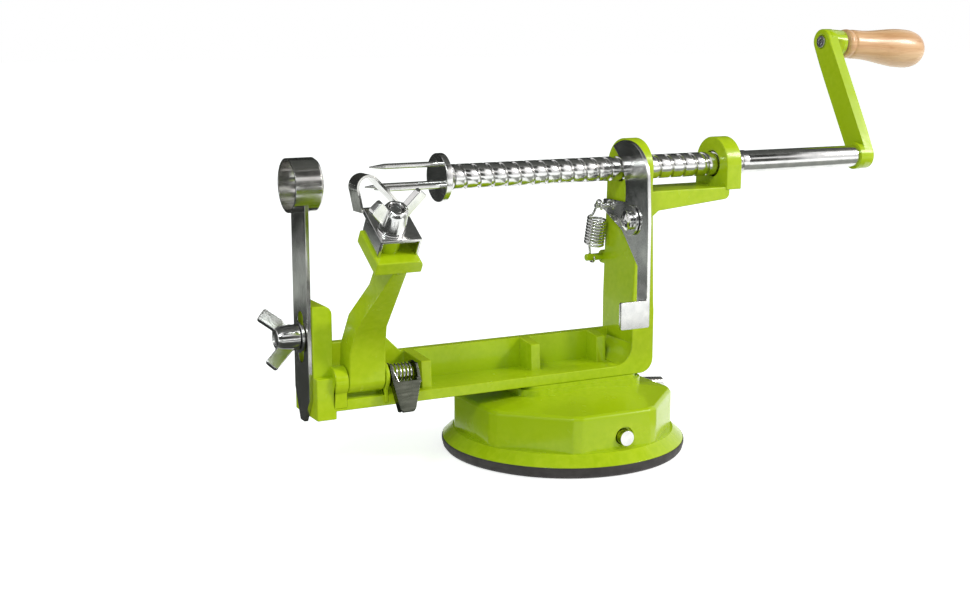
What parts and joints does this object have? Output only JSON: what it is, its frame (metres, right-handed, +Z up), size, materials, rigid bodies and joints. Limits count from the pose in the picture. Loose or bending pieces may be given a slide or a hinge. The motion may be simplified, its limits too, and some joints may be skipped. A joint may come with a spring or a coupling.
{
  "type": "hand-cranked apple peeler",
  "caption": "Table-top apple peeler: suction foot, lime cast frame, threaded feed screw with fork and crank, sprung peeling arm, release lever, slicing blade with coring ring.",
  "frame": {"origin": "centre of the suction foot on the table", "axes": "+X along the feed screw towards the crank, +Y to the back, away from the peeling arm's side, +Z up"},
  "size_m": [0.3409, 0.1214, 0.1698],
  "materials": {
    "lime_paint": "gloss enamel on die casting",
    "chrome": "polished chrome plate",
    "blade_steel": "polished stainless strip",
    "zinc_steel": "zinc plated",
    "dark_steel": "dark satin plate",
    "black_rubber": "matt moulded",
    "bush_plastic": "matt moulded",
    "beech": "clear varnish"
  },
  "bodies": {
    "frame": {"main_frame": "lime_paint", "base_shell": "lime_paint", "suction_cup": "black_rubber", "frame_screws": "zinc_steel", "arm_pin": "zinc_steel", "slicer_bolt": "zinc_steel", "slicer_washer": "chrome", "lever_screw": "chrome", "lever_washer": "chrome", "lever_spring": "chrome", "arm_spring": "chrome"},
    "feed_bush": {"rear_bush": "bush_plastic"},
    "screw": {"threaded_shaft": "chrome", "fork_disc": "chrome", "fork_prongs": "chrome", "crank_arm": "lime_paint", "handle_bolt": "zinc_steel", "handle_washer": "zinc_steel"},
    "handle": {"wood_handle": "beech"},
    "release_lever": {"release_lever": "chrome"},
    "peel_arm": {"peel_arm": "lime_paint", "peel_blade": "blade_steel", "clamp_plate": "chrome", "peel_bolt": "zinc_steel", "peel_washer": "chrome"},
    "peel_nut": {"peel_nut": "chrome"},
    "arm_latch": {"arm_latch": "dark_steel"},
    "slicer": {"slicer_blade": "blade_steel", "corer_ring": "blade_steel"},
    "slicer_nut": {"slicer_nut": "chrome"},
    "suction_lever": {"suction_lever": "chrome", "rod_clip": "zinc_steel"},
    "cup_lift": {"pull_stem": "zinc_steel", "cup_disc": "zinc_steel"}
  },
  "joints": [
    {"name": "crank_turn", "type": "hinge", "parent": "frame", "child": "feed_bush", "pos_m": [0.0757, 0, 0.114], "axis": [1, 0, 0], "range_deg": [-2880, 4320]},
    {"name": "shaft_feed", "type": "slide", "parent": "feed_bush", "child": "screw", "axis": [1, 0, 0], "range_m": [-0.0481, 0.0721]},
    {"name": "handle_spin", "type": "hinge", "parent": "screw", "child": "handle", "pos_m": [0.18591, 0.02831, 0.16156], "axis": [0.9973, 0, -0.0732], "continuous": true},
    {"name": "lever_press", "type": "hinge", "parent": "frame", "child": "release_lever", "pos_m": [0.025, -0.0123, 0.094], "axis": [1, 0, 0], "range_deg": [0, 6], "stiffness_Nm_per_rad": 0.5, "springref_deg": -5.73, "deforming": ["lever_spring"]},
    {"name": "arm_swing", "type": "hinge", "parent": "frame", "child": "peel_arm", "pos_m": [-0.0927, -0.0085, 0.0407], "axis": [1, 0, 0], "range_deg": [-14, 30], "stiffness_Nm_per_rad": 1.5, "deforming": ["arm_spring"]},
    {"name": "peel_nut_spin", "type": "hinge", "parent": "peel_arm", "child": "peel_nut", "pos_m": [-0.1004, -0.0563, 0.106], "axis": [0, -0.5373, 0.8434], "continuous": true},
    {"name": "latch_press", "type": "hinge", "parent": "frame", "child": "arm_latch", "pos_m": [-0.0774, -0.0085, 0.0407], "axis": [1, 0, 0], "range_deg": [0, 12], "stiffness_Nm_per_rad": 0.3, "springref_deg": -5.73},
    {"name": "slicer_adjust", "type": "slide", "parent": "frame", "child": "slicer", "axis": [0, 0, 1], "range_m": [-0.002, 0.002]},
    {"name": "slicer_nut_spin", "type": "hinge", "parent": "frame", "child": "slicer_nut", "pos_m": [-0.119, 0, 0.057], "axis": [-1, 0, 0], "continuous": true},
    {"name": "suction_turn", "type": "hinge", "parent": "frame", "child": "suction_lever", "pos_m": [0.0035, 0, 0.0133], "axis": [0, -1, 0], "range_deg": [0, 95]},
    {"name": "cup_lift", "type": "slide", "parent": "frame", "child": "cup_lift", "axis": [0, 0, -1], "range_m": [0, 0.00161]}
  ],
  "couplings": [
    {"joint": "shaft_feed", "follows": "crank_turn", "m_per_rad": 0.00095493},
    {"joint": "cup_lift", "follows": "suction_turn", "m_per_rad": 0.00096498}
  ]
}
